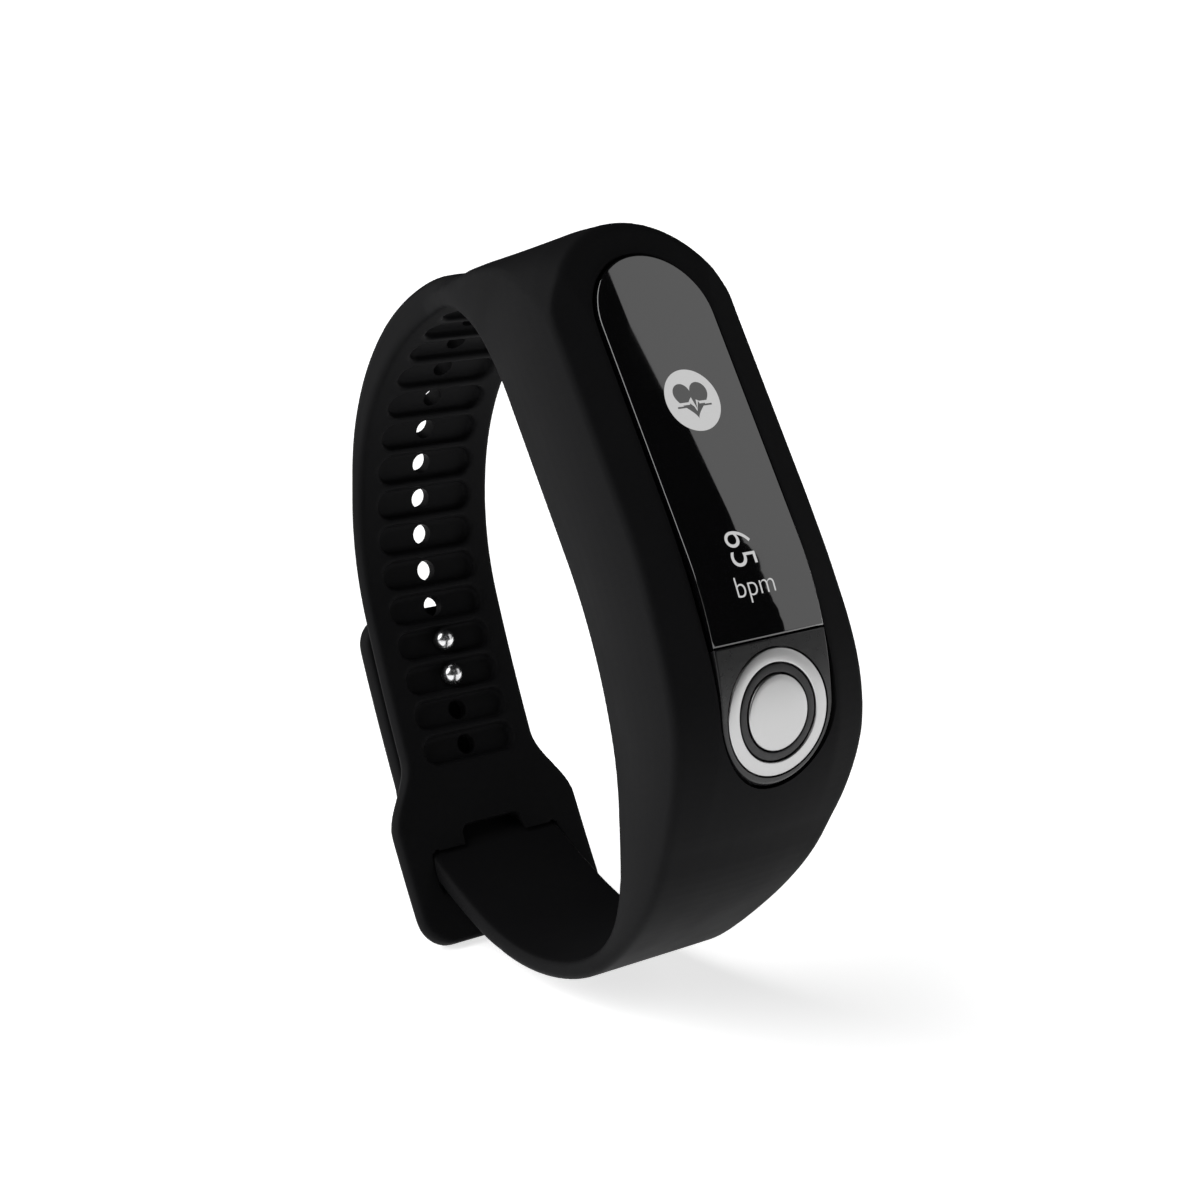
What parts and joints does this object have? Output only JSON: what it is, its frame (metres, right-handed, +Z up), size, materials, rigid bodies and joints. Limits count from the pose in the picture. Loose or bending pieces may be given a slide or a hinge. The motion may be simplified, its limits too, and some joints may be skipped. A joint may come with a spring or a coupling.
{
  "type": "activity tracker band",
  "caption": "Wrist band with a removable oblong tracker pod: curved lens, round push button, electrode ring, laddered rubber strap and stud clasp.",
  "frame": {"origin": "centre of the overall box in X and Y, at the band's lowest point", "axes": "+X across the band to its own left-hand side seen from behind, +Y from the display side towards the clasp, +Z up; the display leans back 33 degrees from upright"},
  "size_m": [0.0216, 0.056, 0.069],
  "materials": {
    "rubber": "matt silicone with a fine moulded grain",
    "lens_glass": "polished, opaque black",
    "pod_plastic": "satin moulded",
    "brushed_steel": "fine brushed",
    "polished_steel": "polished",
    "circuit_board": "green solder mask",
    "chip_plastic": "moulded epoxy",
    "battery_foil": "satin foil pouch",
    "display": "clear, dark behind",
    "flex_film": "amber polyimide film"
  },
  "bodies": {
    "band": {"strap": "rubber", "strap_in_slot": "rubber"},
    "pod": {"pod_top_housing": "pod_plastic", "pod_base_cover": "pod_plastic", "display_lens": "lens_glass", "button_surround": "pod_plastic", "electrode_ring": "brushed_steel", "ring_insulator": "pod_plastic", "button_switch": "chip_plastic", "button_board": "circuit_board", "display_panel": "display", "display_bracket": "brushed_steel", "display_flex": "flex_film", "main_board": "circuit_board", "processor_chip": "chip_plastic", "radio_chip": "chip_plastic", "memory_chip": "chip_plastic", "battery": "battery_foil", "usb_receptacle": "brushed_steel", "vibration_motor": "brushed_steel", "sensor_board": "circuit_board", "sensor_led_left": "display", "sensor_led_right": "display", "sensor_photodiode": "chip_plastic", "sensor_window": "display", "rear_electrode_upper": "brushed_steel", "rear_electrode_lower": "brushed_steel", "pod_screw_1": "brushed_steel", "pod_screw_2": "brushed_steel", "pod_screw_3": "brushed_steel", "pod_screw_4": "brushed_steel"},
    "button": {"button_disc": "brushed_steel"},
    "tail": {"strap_tail": "rubber", "clasp_plate": "brushed_steel", "clasp_stud_lower": "polished_steel", "clasp_stud_upper": "polished_steel"}
  },
  "joints": [
    {"name": "pod_slide", "type": "slide", "parent": "band", "child": "pod", "axis": [0, 0.8387, -0.5446], "range_m": [0, 0.016]},
    {"name": "button_press", "type": "slide", "parent": "pod", "child": "button", "axis": [0, 0.9959, -0.0903], "range_m": [0, 0.00035], "stiffness_N_per_m": 3000},
    {"name": "tail_fold", "type": "hinge", "parent": "band", "child": "tail", "pos_m": [0, 0.0156, 0.00637], "axis": [-1, 0, 0], "range_deg": [0, 60]}
  ]
}
